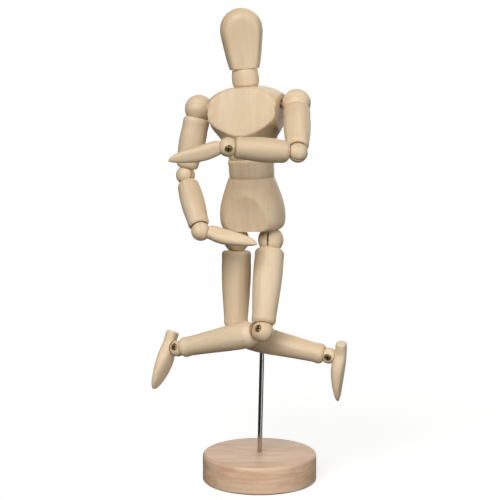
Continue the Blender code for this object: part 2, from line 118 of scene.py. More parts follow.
# turned outlines: radius and height, mm
PELVIS_HEIGHT = 32.4
PELVIS_SIDE = [
    (17.4, 0), (19.3, 1.5), (20.4, 4), (20.9, 8), (20.8, 12), (20.0, 17), (18.6, 22),
    (16.9, 27), (15.5, 31), (14.9, PELVIS_HEIGHT),
]
CHEST_HEIGHT = 45.2
CHEST_SIDE = [
    (13.9, 0.2), (15.5, 6), (17.8, 12.4), (20.6, 16.6), (25.4, 22.4), (27.8, 27.6), (27.6, 32.5),
    (24.6, 38), (19.6, 41.9), (13.4, 44.4), (10.4, CHEST_HEIGHT),
]
HEAD_SIDE = [
    (9.6, 0.6), (10.4, 4), (11.2, 8), (12.0, 13), (12.9, 19), (13.45, 24.5), (13.05, 28),
    (11.95, 31), (10.15, 33.6), (7.7, 35.8), (4.7, 37.4), (2.2, 38.15), (0, 38.4),
]
# flats cut on them: a point on each, mm, and the way out of the wood
PELVIS_FLATS = [((0, -14.9, 0), (0, -1, -0.15)), ((0, 18, 0), (0, 1, 0))]
CHEST_FLATS = [
    ((0, -19.4, 16), (0, -1, 0.2)), ((0, 17, 16), (0, 1, 0.06)),
    ((21, 0, 23), (1, 0, -0.12)), ((-21, 0, 23), (-1, 0, -0.12)),
]
FACE_FLAT = [((0, -7.5, 0), (0, -1, -0.05))]
# the front of the head gets shallower from one height to another, mm, by this share
BROW_START = 18
BROW_END = 30
BROW_LOSS = 0.15

# the limb pieces' turned sides: radius and distance from the upper joint, mm
LIMB_SIDES = {
    "upper_arm": [(7.1, 5.6), (7.8, 6.5), (8.3, 13), (8.5, 20), (8.1, 27), (7.2, 34), (6.6, 37.4),
                  (5.6, 38.5)],
    "forearm": [(5.0, 5.7), (6.3, 7.1), (7.2, 12), (7.6, 20), (7.3, 28), (6.7, 34), (6.3, 37.9),
                (5.6, 38.6)],
    "thigh": [(7.9, 6.9), (8.8, 7.7), (9.3, 13), (9.4, 21), (9.0, 32), (8.3, 42), (7.7, 50),
              (7.3, 54.7), (6.4, 55.8)],
    "shin": [(6.5, 6.4), (7.9, 8.8), (8.5, 14), (8.3, 22), (7.6, 32), (6.9, 42), (6.3, 52),
             (6.1, 57.6), (5.2, 58.7)],
}
# distance from the wrist, sideways shift, and half sizes across and through the hand, mm
HAND_STATIONS = [
    (4.4, 0.8, 4.0, 3.3), (7, 0.8, 4.6, 3.6), (13, 0.1, 5.0, 3.7), (20, -0.1, 4.7, 3.4),
    (26.5, 0.2, 3.9, 2.8), (32, 0.3, 2.8, 2.1), (35.6, 0.2, 1.4, 1.2), (37, 0, 0.5, 0.5),
]
# distance ahead of the ankle, depth below it, and half sizes through and across the foot, mm
FOOT_STATIONS = [
    (-9.8, 7.4, 2.8, 4.1), (-9.2, 7.4, 3.3, 4.6), (-6, 7.5, 3.6, 4.4), (-2, 7.4, 3.8, 4.0),
    (2.5, 7.0, 4.2, 5.4), (7.5, 6.6, 4.3, 6.8), (13.4, 6.7, 3.8, 7.1), (20.7, 7.2, 2.7, 6.1),
    (27, 7.9, 1.5, 3.4), (29.2, 8.2, 0.6, 1.3),
]
TOE_REACH = 29.2
TOE_DEPTH = 8.2

# how finely round shapes are cut
TURN_STEPS = 96
SMALL_STEPS = 32
# a radius no larger than this is on the axis, mm
ON_AXIS = 0.001
# a flat that faces a way by less than this share is edge-on to it and leaves it alone
EDGE_ON = 0.02
# edges that turn by more than this are drawn sharp, degrees
SHARP_EDGE = 32
# painted shade in a screw's cross: none down to the first depth, full painted shade from the second,
# mm
RECESS_SHADE_DEPTHS = (0.12, 0.5)

ARM = (("shoulder", "upper_arm"), ("elbow", "forearm"), ("wrist", "hand"))
LEG = (("hip", "thigh"), ("knee", "shin"), ("ankle", "foot"))
joints = {joint["name"]: joint for joint in frame["joints"]}


# ---------------------------------------------------------------- frames

def centre_of(joint):
    """Where a joint is, mm."""
    return Vector(joints[joint]["pos_m"]) / MM


def axis_of(joint, like):
    """A joint's axis, pointing as nearly as it can like a way."""
    axis = Vector(joints[joint]["axis"]).normalized()
    return axis if axis.dot(Vector(like)) > 0 else -axis


def frame_at(point, along, across):
    """A frame at a point in mm, with Z along one way and Y as near across as it goes."""
    z = along.normalized()
    y = (across - z * z.dot(across)).normalized()
    turn = Matrix((y.cross(z), y, z)).transposed().to_4x4()
    return Matrix.Translation(point * MM) @ turn


def slid(matrix, point):
    """A frame moved by a point in mm along its own axes."""
    return matrix @ Matrix.Translation(Vector(point) * MM)


def cad_points(node):
    """The places of a CAD node's corners, mm, each once."""
    vertices = frame["nodes"][node].data.vertices
    return [Vector(p) for p in sorted({tuple(round(c / MM, 3) for c in v.co) for v in vertices})]


def far_end(node, centre, depth=0.6):
    """The middle of the end of a CAD node that lies furthest from a point, mm."""
    points = cad_points(node)
    reach = max((point - centre).length for point in points)
    end = [point for point in points if (point - centre).length > reach - depth]
    return sum(end, Vector()) / len(end)


def torso_frames():
    """The frames of the pelvis, waist, chest, neck and head."""
    up, aside = Vector((0, 0, 1)), Vector((1, 0, 0))
    hips = [centre_of(f"{side}_hip_twist") for side in ("left", "right")]
    shoulders = [centre_of(f"{side}_shoulder_twist") for side in ("left", "right")]
    pelvis_up = axis_of("left_hip_twist", up)
    chest_up = axis_of("chest_turn", up)
    neck_up = axis_of("head_turn", up)
    chest_back = chest_up.cross(shoulders[0] - shoulders[1])
    pelvis_back = pelvis_up.cross(hips[0] - hips[1])
    neck_back = neck_up.cross(axis_of("neck_nod", aside))
    neck = frame_at(centre_of("neck_nod"), neck_up, neck_back)
    facing = Matrix.Rotation(radians(HEAD_TURNED), 4, "Z")
    return {
        "pelvis": frame_at((hips[0] + hips[1]) / 2 + pelvis_up * HIP_DROP, pelvis_up, pelvis_back),
        "waist": frame_at(centre_of("waist_bend"), chest_up, chest_back),
        "chest": frame_at(
            (shoulders[0] + shoulders[1]) / 2 - chest_up * SHOULDER_HEIGHT, chest_up, chest_back
        ),
        "neck": neck,
        "head": frame_at(centre_of("head_turn"), neck_up, neck_back) @ facing,
    }


def screw_way(side, joint):
    """The bend axis of a joint, pointing away from its cross screw's head."""
    axis = Vector(joints[f"{side}_{joint}_bend"]["axis"])
    centre = centre_of(f"{side}_{joint}_bend")
    reach = [(point - centre).dot(axis) for point in cad_points(f"{side}_{joint}_screw")]
    return axis if -min(reach) > max(reach) else -axis


def foot_frame(side, centre, shin_way):
    """A foot's frame, with X towards the toes and Z from the ankle down to the sole."""
    across = screw_way(side, "ankle")
    toe = far_end(f"{side}_foot", centre) - centre
    slope = asin(TOE_DEPTH / sqrt(TOE_REACH**2 + TOE_DEPTH**2))
    for turn in (slope, -slope):
        ahead = Matrix.Rotation(turn, 3, across) @ toe
        for down in (across.cross(ahead), ahead.cross(across)):
            if down.dot(toe) > 0 and down.dot(shin_way) > 0:
                best = frame_at(centre, down, down.cross(ahead))
    return best


def limb_frames(torso):
    """The frames of every ball and limb piece, by node name."""
    frames = {}
    for side, sign in (("left", 1), ("right", -1)):
        for limb, holder, way in ((ARM, "chest", (sign, 0, 0)), (LEG, "pelvis", (0, 0, -1))):
            centres = [centre_of(f"{side}_{joint}_twist") for joint, _ in limb]
            way = torso[holder].to_3x3() @ Vector(way)
            for k, (joint, name) in enumerate(limb):
                across = screw_way(side, joint)
                frames[f"{side}_{joint}"] = frame_at(centres[k], way, across)
                if name == "foot":
                    frames[f"{side}_foot"] = foot_frame(side, centres[k], way)
                    continue
                end = far_end(f"{side}_hand", centres[k]) if name == "hand" else centres[k + 1]
                way = end - centres[k]
                frames[f"{side}_{name}"] = frame_at(centres[k], way, across)
    return frames


# ---------------------------------------------------------------- outlines

def smooth(points, step=0.7):
    """A smooth line through some points of two or more numbers each, mm."""
    points = [Vector(point) for point in points]
    gaps = [(b - a).length for a, b in zip(points, points[1:])]
    runs = [(b - a) / gap for a, b, gap in zip(points, points[1:], gaps)]
    slopes = [runs[0]]
    for k in range(1, len(runs)):
        slopes.append((runs[k - 1] * gaps[k] + runs[k] * gaps[k - 1]) / (gaps[k - 1] + gaps[k]))
    slopes.append(runs[-1])
    line = []
    for k, gap in enumerate(gaps):
        count = max(1, ceil(gap / step))
        for n in range(count):
            t = n / count
            line.append(
                points[k] * (2 * t**3 - 3 * t**2 + 1) + slopes[k] * (gap * (t**3 - 2 * t**2 + t))
                + points[k + 1] * (3 * t**2 - 2 * t**3) + slopes[k + 1] * (gap * (t**3 - t**2))
            )
    return line + [points[-1]]


def straight(*points):
    """A line with corners through some points, mm."""
    return [Vector(point) for point in points]


def cap(centre, radius, start, end, count=20):
    """Part of a ball's outline about a height on the axis, between two angles from upright."""
    return [
        Vector((radius * sin(a), centre + radius * cos(a)))
        for a in (start + (end - start) * k / count for k in range(count + 1))
    ]


def shortened(line, distance):
    """A line cut short at its end by a distance."""
    line = list(line)
    while len(line) > 2 and (line[-1] - line[-2]).length <= distance:
        distance -= (line[-1] - line[-2]).length
        line.pop()
    back = line[-2] - line[-1]
    line[-1] = line[-1] + back.normalized() * min(distance, 0.9 * back.length)
    return line


def eased(*lines, ease=0.5, closed=False):
    """Lines that meet end to end, joined into one outline with its corners rounded."""
    lines = [list(line) for line in lines]
    corners = [line[-1] for line in lines]
    count = len(lines) if closed else len(lines) - 1
    for k in range(count):
        other = (k + 1) % len(lines)
        lines[k] = shortened(lines[k], ease)
        lines[other] = shortened(lines[other][::-1], ease)[::-1]
    outline = []
    for k, line in enumerate(lines):
        outline += line
        if k < count:
            start, corner, end = line[-1], corners[k], lines[(k + 1) % len(lines)][0]
            for t in (0.2, 0.4, 0.6, 0.8):
                outline.append(start * (1 - t) ** 2 + corner * (2 * t * (1 - t)) + end * t**2)
    return outline


def outside(line, centre, radius):
    """The stretch of a line that lies outside a ball on the axis, ending on the ball."""
    middle = Vector((0, centre))
    clear = [(point - middle).length > radius for point in line]
    first, last = clear.index(True), len(clear) - 1 - clear[::-1].index(True)
    kept = line[first:last + 1]

    def crossing(inner, outer):
        low, high = 0.0, 1.0
        for _ in range(30):
            half = (low + high) / 2
            if (inner.lerp(outer, half) - middle).length > radius:
                high = half
            else:
                low = half
        return inner.lerp(outer, high)

    if first > 0:
        kept = [crossing(line[first - 1], line[first])] + kept
    if last < len(line) - 1:
        kept = kept + [crossing(line[last + 1], line[last])]
    return kept


# ---------------------------------------------------------------- solids

def new_mesh(shape, name):
    """A mesh from a bmesh, with its normals outwards."""
    bmesh.ops.recalc_face_normals(shape, faces=shape.faces)
    mesh = bpy.data.meshes.new(name)
    shape.to_mesh(mesh)
    shape.free()
    return mesh


def skin(rings, name, looped=False):
    """A closed mesh through rings of points in mm; a ring of one point closes an end."""
    shape = bmesh.new()
    loops = [[shape.verts.new(Vector(point) * MM) for point in ring] for ring in rings]
    steps = max(len(loop) for loop in loops)
    pairs = list(zip(loops, loops[1:])) + ([(loops[-1], loops[0])] if looped else [])
    for one, other in pairs:
        for k in range(steps):
            corners = [one[k % len(one)], one[(k + 1) % steps % len(one)]]
            corners += [other[(k + 1) % steps % len(other)], other[k % len(other)]]
            shape.faces.new(list(dict.fromkeys(corners)))
    return new_mesh(shape, name)


def nearer(one, other, blend):
    """The lesser of two lengths, blended where they are nearly the same, mm."""
    mix = max(blend - abs(one - other), 0) / blend
    return min(one, other) - mix * mix * blend / 4


def turned(outline, name="turned", flats=(), steps=TURN_STEPS, blend=0.9, flatten=None):
    """A closed mesh turned about Z from an outline in mm, with flats planed on its sides.

    The edges of the flats are rounded over the blend, and flatten gives how deep the front
    half is at a height, as a share of how wide it is.
    """
    looped = outline[0][0] > ON_AXIS
    rings = []
    for radius, height in outline:
        if radius <= ON_AXIS:
            rings.append([(0, 0, height)])
            continue
        ring = []
        depth_share = flatten(height) if flatten else 1
        for k in range(steps):
            angle = 2 * pi * k / steps
            way = Vector((cos(angle), sin(angle), 0))
            reach = radius
            if way.y < 0:
                reach *= depth_share / sqrt((depth_share * way.x) ** 2 + way.y**2)
            for point, outward in flats:
                facing = way.dot(Vector(outward))
                if facing > EDGE_ON:
                    depth = (Vector(point) - Vector((0, 0, height))).dot(Vector(outward)) / facing
                    reach = nearer(reach, depth, blend)
            ring.append(way * reach + Vector((0, 0, height)))
        rings.append(ring)
    return skin(rings, name, looped)


def rod_shape(radius, low, high, steps=SMALL_STEPS):
    """A plain cylinder about Z, mm."""
    return turned([(0, low), (radius, low), (radius, high), (0, high)], steps=steps)


def ball_shape(radius, centre=(0, 0, 0)):
    """A plain ball, mm."""
    mesh = turned([(max(p.x, 0), p.y) for p in cap(0, radius, pi, 0, 48)])
    return laid(mesh, Matrix.Translation(Vector(centre) * MM))


def slab(low, high):
    """A box between two corners, mm."""
    shape = bmesh.new()
    size = Matrix.Diagonal([(b - a) * MM for a, b in zip(low, high)] + [1])
    middle = Matrix.Translation([(a + b) / 2 * MM for a, b in zip(low, high)])
    bmesh.ops.create_cube(shape, size=1, matrix=middle @ size)
    return new_mesh(shape, "slab")


ALONG_X = Matrix.Rotation(pi / 2, 4, "Y")
ALONG_Y = Matrix.Rotation(pi / 2, 4, "X")


def laid(mesh, matrix):
    """A mesh moved by a matrix."""
    mesh.transform(matrix)
    return mesh


def carved(mesh, joined=(), cut=()):
    """A mesh with some solids joined on and some cut away."""
    body = bpy.data.objects.new("carved", mesh)
    bpy.context.scene.collection.objects.link(body)
    helpers = []
    for operation, solids in (("UNION", joined), ("DIFFERENCE", cut)):
        for solid in solids:
            helper = bpy.data.objects.new("helper", solid)
            bpy.context.scene.collection.objects.link(helper)
            change = body.modifiers.new(operation.lower(), "BOOLEAN")
            change.operation = operation
            change.object = helper
            change.solver = "EXACT"
            helpers.append(helper)
    graph = bpy.context.evaluated_depsgraph_get()
    made = bpy.data.meshes.new_from_object(body.evaluated_get(graph))
    for obj in [body] + helpers:
        bpy.data.objects.remove(obj, do_unlink=True)
    return made


def dish(joint):
    """The radius of the dish or scoop round a joint's ball, mm."""
    return JOINT_SIZES[joint][0] + DISH_GAP


def tongue_shape(joint):
    """A flat tongue with a round eye at the joint's centre, rooted beyond the scoop."""
    ball, thick, _ = JOINT_SIZES[joint]
    eye = EYE_SHARE * ball
    side, root = ROOT_SHARE * eye, dish(joint) + TONGUE_ROOT
    start = asin(ROOT_SHARE)
    steps = 40
    outline = [Vector((-side, root))]
    for k in range(steps + 1):
        angle = 2 * pi - start - (2 * pi - 2 * start) * k / steps
        outline.append(Vector((eye * sin(angle), eye * cos(angle))))
    outline.append(Vector((side, root)))
    rings = [[(p.x, y, p.y) for p in outline] for y in (-thick / 2, thick / 2)]
    shape = bmesh.new()
    loops = [[shape.verts.new(Vector(point) * MM) for point in ring] for ring in rings]
    count = len(outline)
    for k in range(count):
        other = (k + 1) % count
        shape.faces.new((loops[0][k], loops[0][other], loops[1][other], loops[1][k]))
    shape.faces.new(loops[0])
    shape.faces.new(loops[1])
    return new_mesh(shape, "tongue")


def screw_hole():
    """The hole for a cross screw's shank, right through."""
    return laid(rod_shape(SCREW_RADIUS + SCREW_GAP, -THROUGH, THROUGH), ALONG_Y)


def limb_mesh(name, upper, lower, length):
    """A turned limb piece, scooped and tongued above, dished and bored below."""
    scoop, hollow = dish(upper), dish(lower)
    side = smooth(LIMB_SIDES[name])
    side = [Vector((0, side[0].y))] + side + [Vector((0, side[-1].y))]
    side = outside(outside(side, 0, scoop), length, hollow)
    rim, lip = side[0], side[-1]
    rim_angle = asin(min(1, rim.x / scoop))
    lip_angle = pi - asin(min(1, lip.x / hollow))
    bore_angle = pi - asin(BORE_RADIUS / hollow)
    bore_floor = length - JOINT_SIZES[lower][0] - BORE_DEPTH
    outline = eased(
        cap(0, scoop, 0, rim_angle),
        side,
        cap(length, hollow, lip_angle, bore_angle),
        straight((BORE_RADIUS, length + hollow * cos(bore_angle)), (BORE_RADIUS, bore_floor)),
        straight((BORE_RADIUS, bore_floor), (0, bore_floor)),
        ease=0.55,
    )
    return carved(turned(outline, name), joined=[tongue_shape(upper)], cut=[screw_hole()])


def oval(half_x, half_y, count=64, squareness=2.5):
    """Points round a rounded-square outline, mm."""
    points = []
    for k in range(count):
        angle = 2 * pi * k / count
        across, along = cos(angle), sin(angle)
        x = abs(across) ** (2 / squareness) * half_x
        y = abs(along) ** (2 / squareness) * half_y
        points.append((x if across >= 0 else -x, y if along >= 0 else -y))
    return points


def lofted(rings, name):
    """A closed mesh through rings, with flat ends."""
    first, last = ([sum(map(Vector, ring), Vector()) / len(ring)] for ring in (rings[0], rings[-1]))
    return skin([first] + rings + [last], name)


def hand_mesh():
    """A smooth flat mitten with a tongue for the wrist."""
    rings = []
    for along, shift, half_x, half_y in smooth(HAND_STATIONS):
        rings.append([(x + shift, y, along) for x, y in oval(half_x, half_y)])
    hand = carved(lofted(rings, "hand"), cut=[ball_shape(dish("wrist"))])
    return carved(hand, joined=[tongue_shape("wrist")], cut=[screw_hole()])


def foot_mesh():
    """A pointed foot with a flat sole and a tongue up to the ankle."""
    rings = []
    for along, depth, half_z, half_y in smooth(FOOT_STATIONS):
        rings.append([(along, y, z + depth) for z, y in oval(half_z, half_y)])
    foot = carved(lofted(rings, "foot"), cut=[ball_shape(dish("ankle"))])
    return carved(foot, joined=[tongue_shape("ankle")], cut=[screw_hole()])


def ball_mesh(joint):
    """A slotted ball on a short stem, with a stepped hole for the cross screw."""
    radius, thick, stem = JOINT_SIZES[joint]
    half = thick / 2 + SLOT_GAP
    floor = -EYE_SHARE * radius - FLOOR_GAP
    foot_angle = pi - asin(STEM_RADIUS / radius)
    tip = -radius - stem
    outline = eased(
        straight((0, tip), (STEM_RADIUS, tip)),
        straight((STEM_RADIUS, tip), (STEM_RADIUS, radius * cos(foot_angle))),
        cap(0, radius, foot_angle, 0, 48),
        ease=0.3,
    )
    outline[-1] = Vector((0, radius))
    head_floor = radius - HEAD_SINK - HEAD_DEPTH - SCREW_GAP
    return carved(turned(outline, f"{joint}_ball"), cut=[
        slab((-THROUGH, -half, floor), (THROUGH, half, THROUGH)),
        laid(rod_shape(HEAD_RADIUS + SCREW_GAP, head_floor, THROUGH), ALONG_Y),
        laid(rod_shape(SCREW_RADIUS + SCREW_GAP, SCREW_POINT - SCREW_GAP - radius, radius), ALONG_Y),
    ])


def screw_mesh(joint):
    """A pan-headed wood screw along -Y with a cross cut in its head."""
    radius = JOINT_SIZES[joint][0]
    point, top = SCREW_POINT - radius, radius - HEAD_SINK
    under = top - HEAD_DEPTH
    shank = [(0, point), (0.35, point + 0.7)]
    pitch, height = 0.8, point + 0.9
    while height + pitch < under - 1.5:
        shank += [(SCREW_RADIUS - 0.28, height), (SCREW_RADIUS, height + 0.35)]
        height += pitch
    shank += [(SCREW_RADIUS - 0.2, height), (SCREW_RADIUS - 0.2, under)]
    head = [(HEAD_RADIUS, under), (HEAD_RADIUS, top - 0.55), (HEAD_RADIUS - 0.15, top - 0.3),
            (HEAD_RADIUS - 0.5, top - 0.1), (HEAD_RADIUS - 1.0, top - 0.02), (0, top)]
    cross_floor, arm, width = top - 0.9, 1.6, 0.36
    cross = [slab((-arm, -width, cross_floor), (arm, width, top + 1)),
             slab((-width, -arm, cross_floor), (width, arm, top + 1))]
    mesh = carved(turned(shank + head, f"{joint}_screw", steps=SMALL_STEPS), cut=cross)
    return laid(mesh, ALONG_Y)


def coil_mesh(low, high, radius=2.1, wire=0.35, pitch=1.15):
    """A coil spring of round wire about Z, mm."""
    per_turn, sides = 20, 8
    turns = max(2, round((high - low) / pitch))
    count = turns * per_turn
    rise = (high - low) / count
    stride = radius * 2 * pi / per_turn
    rings = []
    for k in range(count + 1):
        angle = 2 * pi * k / per_turn
        outward = Vector((cos(angle), sin(angle), 0))
        along = Vector((-sin(angle) * stride, cos(angle) * stride, rise))
        upward = along.cross(outward).normalized()
        centre = outward * radius + Vector((0, 0, low + rise * k))
        rings.append([
            centre + (outward * cos(2 * pi * n / sides) + upward * sin(2 * pi * n / sides)) * wire
            for n in range(sides)
        ])
    return lofted(rings, "coil")


# ---------------------------------------------------------------- materials

def linear(red, green, blue):
    """A colour for a shader from 0-255 screen values."""
    def level(value):
        share = value / 255
        return share / 12.92 if share <= 0.04045 else ((share + 0.055) / 1.055) ** 2.4

    return (level(red), level(green), level(blue), 1)


class Nodes:
    """A material and short ways to add nodes to it."""

    def __init__(self, name):
        self.material = bpy.data.materials.new(name)
        self.material.use_nodes = True
        self.tree = self.material.node_tree
        self.shader = self.tree.nodes["Principled BSDF"]

    def add(self, kind, **settings):
        node = self.tree.nodes.new(f"ShaderNode{kind}")
        for key, value in settings.items():
            setattr(node, key, value)
        return node

    def link(self, source, target):
        self.tree.links.new(source, target)

    def place(self, scale):
        """The place in the piece, mm, scaled."""
        mapping = self.add("Mapping")
        mapping.inputs["Scale"].default_value = scale
        self.link(self.add("Attribute", attribute_name="grain").outputs["Vector"], mapping.inputs[0])
        return mapping.outputs["Vector"]

    def noise(self, place, scale, detail=3.0, rough=0.5, distortion=0.0):
        """Noise from 0 to 1 at a place."""
        node = self.add("TexNoise")
        node.inputs["Scale"].default_value = scale
        node.inputs["Detail"].default_value = detail
        node.inputs["Roughness"].default_value = rough
        node.inputs["Distortion"].default_value = distortion
        self.link(place, node.inputs["Vector"])
        return node.outputs["Fac"]

    def ranged(self, source, low, high, to_low=0.0, to_high=1.0):
        """A value carried from one range to another and kept inside it."""
        node = self.add("MapRange")
        values = (low, high, to_low, to_high)
        for socket, value in zip(("From Min", "From Max", "To Min", "To Max"), values):
            node.inputs[socket].default_value = value
        self.link(source, node.inputs["Value"])
        return node.outputs["Result"]

    def mixed(self, amount, one, other):
        """A mix of two colours, each a socket or a constant."""
        node = self.add("Mix", data_type="RGBA")
        for value, socket in ((amount, 0), (one, 6), (other, 7)):
            if isinstance(value, bpy.types.NodeSocket):
                self.link(value, node.inputs[socket])
            else:
                node.inputs[socket].default_value = value
        return node.outputs[2]

    def bump(self, height, strength, distance):
        """Relief from a height, its distance in mm."""
        node = self.add("Bump")
        node.inputs["Strength"].default_value = strength
        node.inputs["Distance"].default_value = distance * MM
        self.link(height, node.inputs["Height"])
        self.link(node.outputs["Normal"], self.shader.inputs["Normal"])


def limewood():
    """Pale, fine and straight-grained wood under a satin sealer."""
    made = Nodes("pale_wood")
    fibres = made.noise(made.place((1, 1, 0.05)), 1.5, 4, 0.6)
    rings = made.noise(made.place((0.30, 0.12, 0.012)), 1.0, 2, 0.5, 0.6)
    clouds = made.noise(made.place((0.05, 0.05, 0.03)), 1.0, 2)
    pores = made.ranged(made.noise(made.place((1.2, 1.2, 0.12)), 1.6, 2, 0.6), 0.62, 0.74)
    colour = made.mixed(made.ranged(clouds, 0.35, 0.65), linear(231, 207, 174), linear(239, 219, 188))
    colour = made.mixed(made.ranged(rings, 0.45, 0.62, 0, 0.38), colour, linear(221, 193, 154))
    colour = made.mixed(made.ranged(fibres, 0.4, 0.7, 0, 0.20), colour, linear(212, 183, 145))
    colour = made.mixed(made.ranged(pores, 0, 1, 0, 0.14), colour, linear(180, 146, 108))
    made.link(colour, made.shader.inputs["Base Color"])
    made.link(made.ranged(fibres, 0.3, 0.7, 0.42, 0.54), made.shader.inputs["Roughness"])
    made.shader.inputs["Specular IOR Level"].default_value = 0.42
    made.bump(fibres, 0.06, 0.1)
    return made.material


def beech():
    """Pinkish wood with wavy growth rings and short dark flecks along its grain."""
    made = Nodes("pink_wood")
    fibres = made.noise(made.place((1, 1, 0.07)), 1.8, 4, 0.6)
    rings = made.noise(made.place((0.07, 0.22, 0.014)), 1.0, 3, 0.55, 1.2)
    flecks = made.ranged(made.noise(made.place((1.7, 1.7, 0.26)), 1.3, 2, 0.6), 0.60, 0.70)
    clouds = made.noise(made.place((0.05, 0.05, 0.02)), 1.0, 2)
    colour = made.mixed(made.ranged(clouds, 0.35, 0.65), linear(228, 196, 166), linear(233, 204, 174))
    colour = made.mixed(made.ranged(rings, 0.44, 0.60, 0, 0.66), colour, linear(212, 163, 130))
    colour = made.mixed(made.ranged(fibres, 0.4, 0.7, 0, 0.32), colour, linear(208, 168, 136))
    colour = made.mixed(made.ranged(flecks, 0, 1, 0, 0.30), colour, linear(178, 132, 100))
    made.link(colour, made.shader.inputs["Base Color"])
    made.link(made.ranged(fibres, 0.3, 0.7, 0.46, 0.6), made.shader.inputs["Roughness"])
    made.bump(fibres, 0.12, 0.12)
    return made.material


def metal(name, colour, dark, roughness, grain, shaded_recess=False):
    """Metal with fine marks along one axis and small dull patches, and maybe painted shade deep in a
    recess.
    """
    made = Nodes(name)
    marks = made.noise(made.place(grain), 3.0, 3, 0.6)
    patches = made.noise(made.place((0.5, 0.5, 0.5)), 1.2, 3)
    mix = made.ranged(patches, 0.4, 0.7, 0, 0.7)
    shade = made.mixed(mix, linear(*colour), linear(*dark))
    made.shader.inputs["Metallic"].default_value = 1.0
    if shaded_recess:
        # painted shade: deeper in the screw's cross the colour turns dark brown and stops being
        # metal, standing in for the shade inside the recess
        depth = made.add("SeparateXYZ")
        made.link(made.place((1, 1, 1)), depth.inputs[0])
        recess_shade = made.ranged(depth.outputs["Z"], *RECESS_SHADE_DEPTHS)
        shade = made.mixed(recess_shade, shade, linear(34, 27, 17))
        unshaded_metal = made.ranged(depth.outputs["Z"], *RECESS_SHADE_DEPTHS, 1, 0)
        made.link(unshaded_metal, made.shader.inputs["Metallic"])
    made.link(shade, made.shader.inputs["Base Color"])
    made.link(made.ranged(marks, 0.3, 0.7, roughness - 0.07, roughness + 0.1),
              made.shader.inputs["Roughness"])
    made.bump(marks, 0.15, 0.05)
    return made.material


def make_finishes():
    """The materials by finish name."""
    pale = limewood()
    return {
        "limewood": pale,
        "limewood_across": pale,
        "beech": beech(),
        "rod_steel": metal("drawn_steel", (190, 188, 184), (150, 147, 142), 0.16, (1.5, 1.5, 0.03)),
        # the screws' steel gets painted shade deep in their crosses
        "screw_steel": metal("yellow_steel", (196, 172, 112), (128, 106, 64), 0.42, (1, 1, 1), True),
        "spring_steel": metal("spring_wire", (170, 170, 174), (110, 110, 114), 0.3, (1, 1, 1)),
    }


# ---------------------------------------------------------------- pieces

# the finishes whose grain runs along the piece's X instead of its Z
LENGTHWISE_X = ("limewood_across", "beech")
finishes = make_finishes()
laid_out = []


def piece(node, mesh, matrix, finish, body):
    """A finished piece in place of a CAD node, riding on a body."""
    mesh = mesh.copy()
    mesh.name = node
    mesh.materials.clear()
    mesh.materials.append(finishes[finish])
    mesh.shade_smooth()
    mesh.set_sharp_from_angle(angle=radians(SHARP_EDGE))
    lay_grain(mesh, finish)
    mesh.transform(matrix)
    obj = bpy.data.objects.new(f"fine_{node}", mesh)
    bpy.context.scene.collection.objects.link(obj)
    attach(obj, body)
    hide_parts(node)


def lay_grain(mesh, finish):
    """Keeps where each corner lies in its piece, mm, for the wood and metal textures.

    The grain runs along the stored Z, and each piece starts from its own place in the wood.
    A screw stores its depth below the top of its head as Z, for the painted shade in its cross.
    """
    laid_out.append(mesh)
    start = Vector((37.0, 11.0, 53.0)) * len(laid_out)
    top = min(vertex.co.y for vertex in mesh.vertices) / MM
    places = []
    for vertex in mesh.vertices:
        place = vertex.co / MM
        if finish in LENGTHWISE_X:
            place = Vector((place.y, place.z, place.x))
        if finish == "screw_steel":
            start.z = 0
            place = Vector((place.x, place.z, place.y - top))
        places += (place + start)[:]
    attribute = mesh.attributes.new("grain", "FLOAT_VECTOR", "POINT")
    attribute.data.foreach_set("vector", places)


def base_mesh():
    """The turned base with a rounded upper edge, a small chamfer below and the rod's hole."""
    low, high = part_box("base")
    radius, height = high.x / MM, high.z / MM
    edge, chamfer = 2.2, 0.9
    inner = radius - edge
    corner = [
        Vector((inner + edge * sin(pi / 2 - a), height - edge + edge * sin(a)))
        for a in (pi / 2 * k / 8 for k in range(9))
    ]
    outline = eased(
        straight((0, 0), (radius - chamfer, 0)),
        straight((radius - chamfer, 0), (radius, chamfer)),
        straight((radius, chamfer), corner[0]),
        ease=0.25,
    )
    outline += corner[1:] + straight((inner * 0.66, height), (inner * 0.33, height), (0, height))
    rod = rod_place()
    length = (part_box("rod")[1].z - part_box("rod")[0].z) / MM
    hole = laid(rod_shape(BASE_HOLE_RADIUS, -0.2, length), rod)
    mesh = turned(outline, "base", steps=160)
    return carved(mesh, cut=[hole])


def rod_place():
    """The rod's frame: Z up the swivel's axis, with its origin at the rod's foot."""
    up = axis_of("figure_swivel", (0, 0, 1))
    on_axis = centre_of("figure_swivel")
    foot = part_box("rod")[0].z / MM
    start = on_axis + up * ((foot - on_axis.z) / up.z)
    return frame_at(start, up, Vector((0, 1, 0)))


def rod_mesh():
    """The steel rod with rounded ends."""
    up = axis_of("figure_swivel", (0, 0, 1))
    low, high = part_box("rod")
    length = (high.z - low.z) / MM / up.z
    outline = eased(
        straight((0, 0), (ROD_RADIUS, 0)), straight((ROD_RADIUS, 0), (ROD_RADIUS, length)),
        straight((ROD_RADIUS, length), (0, length)), ease=0.45,
    )
    return turned(outline, "rod", steps=48)


